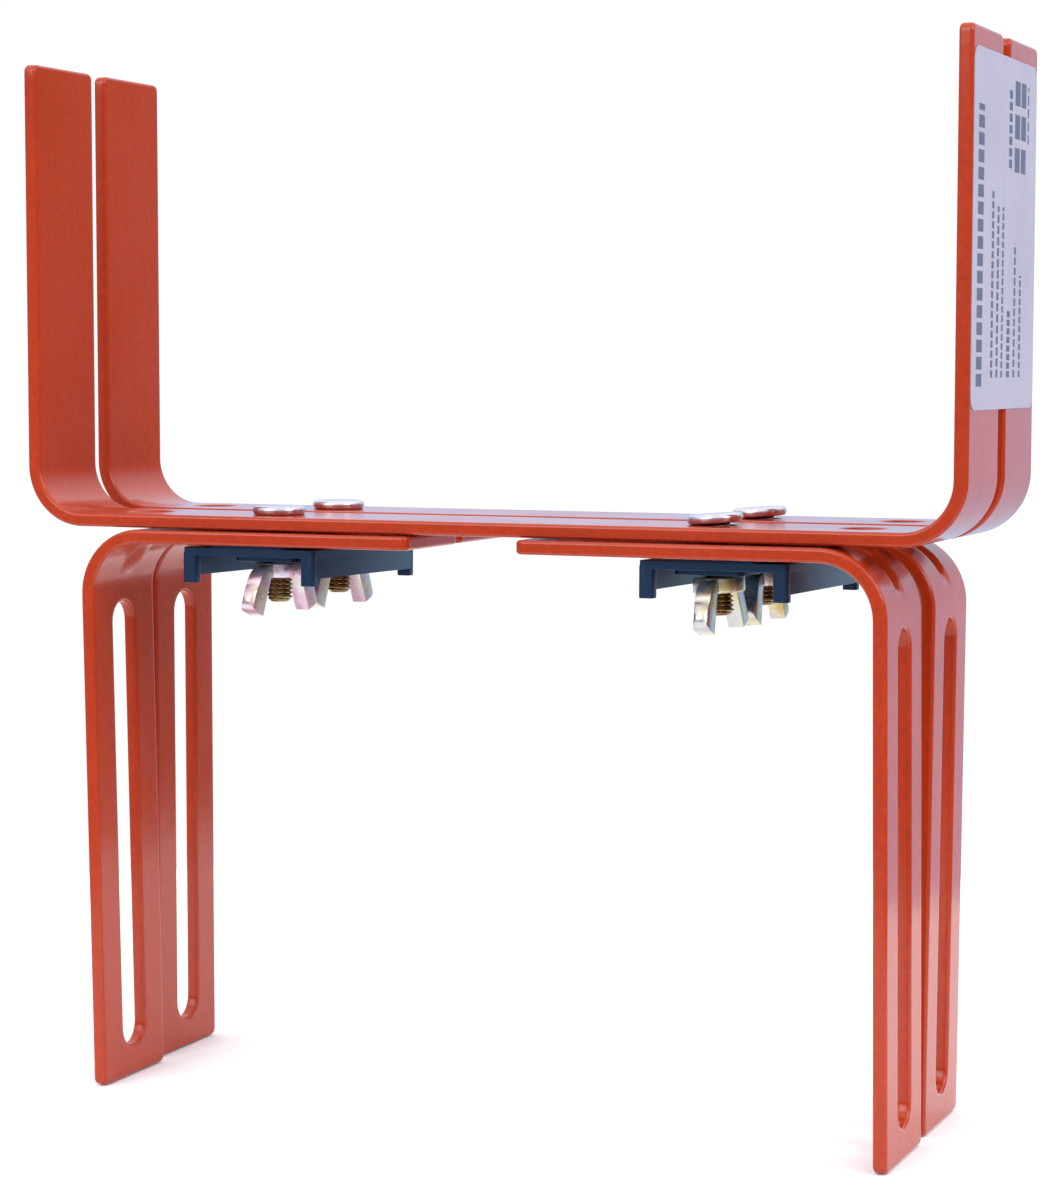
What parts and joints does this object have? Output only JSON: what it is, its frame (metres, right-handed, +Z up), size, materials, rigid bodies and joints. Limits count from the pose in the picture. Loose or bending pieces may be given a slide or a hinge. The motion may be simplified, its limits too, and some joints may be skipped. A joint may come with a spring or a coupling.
{
  "type": "flower box bracket pair",
  "caption": "Bundled pair of adjustable coated steel strap brackets: a U cradle for a flower box, with sliding slotted L jaws that grip a wall or railing.",
  "frame": {"origin": "middle of the pair, on the level of the jaw legs' lower tips (the surface the pair stands on)", "axes": "+X from the left jaws to the right jaws (the side with the label), +Y from the front bracket to the rear bracket, +Z up"},
  "size_m": [0.1854, 0.0498, 0.1965],
  "materials": {
    "red_coating": "glossy thick plastic coating on flat steel, brick orange red",
    "navy_plastic": "satin moulded plastic, very dark navy",
    "zinc_steel": "bright zinc plated steel",
    "chromate_steel": "yellow chromated pressed steel with pale iridescence",
    "label_paper": "semi gloss self adhesive label"
  },
  "bodies": {
    "brackets": {"cradle_strap_front": "red_coating", "cradle_strap_rear": "red_coating", "bolt_front_left": "zinc_steel", "bolt_front_right": "zinc_steel", "bolt_rear_left": "zinc_steel", "bolt_rear_right": "zinc_steel", "bundle_label": "label_paper"},
    "jaw_front_left_body": {"jaw_strap_front_left": "red_coating"},
    "jaw_front_right_body": {"jaw_strap_front_right": "red_coating"},
    "jaw_rear_left_body": {"jaw_strap_rear_left": "red_coating"},
    "jaw_rear_right_body": {"jaw_strap_rear_right": "red_coating"},
    "clamp_plate_left_body": {"clamp_plate_left": "navy_plastic"},
    "clamp_plate_right_body": {"clamp_plate_right": "navy_plastic"},
    "wing_nut_front_left_body": {"wing_nut_front_left": "chromate_steel"},
    "wing_nut_front_right_body": {"wing_nut_front_right": "chromate_steel"},
    "wing_nut_rear_left_body": {"wing_nut_rear_left": "chromate_steel"},
    "wing_nut_rear_right_body": {"wing_nut_rear_right": "chromate_steel"}
  },
  "joints": [
    {"name": "jaw_front_left_slide", "type": "slide", "parent": "brackets", "child": "jaw_front_left_body", "axis": [-1, 0, 0], "range_m": [-0.0105, 0.023]},
    {"name": "jaw_rear_left_slide", "type": "slide", "parent": "brackets", "child": "jaw_rear_left_body", "axis": [-1, 0, 0], "range_m": [-0.0105, 0.023]},
    {"name": "jaw_front_right_slide", "type": "slide", "parent": "brackets", "child": "jaw_front_right_body", "axis": [1, 0, 0], "range_m": [-0.007, 0.023]},
    {"name": "jaw_rear_right_slide", "type": "slide", "parent": "brackets", "child": "jaw_rear_right_body", "axis": [1, 0, 0], "range_m": [-0.0082, 0.023]},
    {"name": "clamp_plate_left_drop", "type": "slide", "parent": "brackets", "child": "clamp_plate_left_body", "axis": [0, 0, 1], "range_m": [-0.0032, 0]},
    {"name": "clamp_plate_right_drop", "type": "slide", "parent": "brackets", "child": "clamp_plate_right_body", "axis": [-0.0698, 0, 0.9976], "range_m": [-0.0032, 0]},
    {"name": "wing_nut_front_left_turn", "type": "hinge", "parent": "clamp_plate_left_body", "child": "wing_nut_front_left_body", "pos_m": [-0.0435, -0.0125, 0.1111], "axis": [0, 0, 1], "range_deg": [-1440, 0]},
    {"name": "wing_nut_rear_left_turn", "type": "hinge", "parent": "clamp_plate_left_body", "child": "wing_nut_rear_left_body", "pos_m": [-0.0435, 0.0125, 0.1111], "axis": [0, 0, 1], "range_deg": [-1440, 0]},
    {"name": "wing_nut_front_right_turn", "type": "hinge", "parent": "clamp_plate_right_body", "child": "wing_nut_front_right_body", "pos_m": [0.0441, -0.0125, 0.1111], "axis": [-0.0698, 0, 0.9976], "range_deg": [-1440, 0]},
    {"name": "wing_nut_rear_right_turn", "type": "hinge", "parent": "clamp_plate_right_body", "child": "wing_nut_rear_right_body", "pos_m": [0.0441, 0.0125, 0.1111], "axis": [-0.0698, 0, 0.9976], "range_deg": [-1440, 0]}
  ],
  "couplings": [
    {"joint": "wing_nut_front_left_turn", "follows": "clamp_plate_left_drop", "rad_per_m": 7854},
    {"joint": "wing_nut_rear_left_turn", "follows": "clamp_plate_left_drop", "rad_per_m": 7854},
    {"joint": "wing_nut_front_right_turn", "follows": "clamp_plate_right_drop", "rad_per_m": 7854},
    {"joint": "wing_nut_rear_right_turn", "follows": "clamp_plate_right_drop", "rad_per_m": 7854}
  ]
}
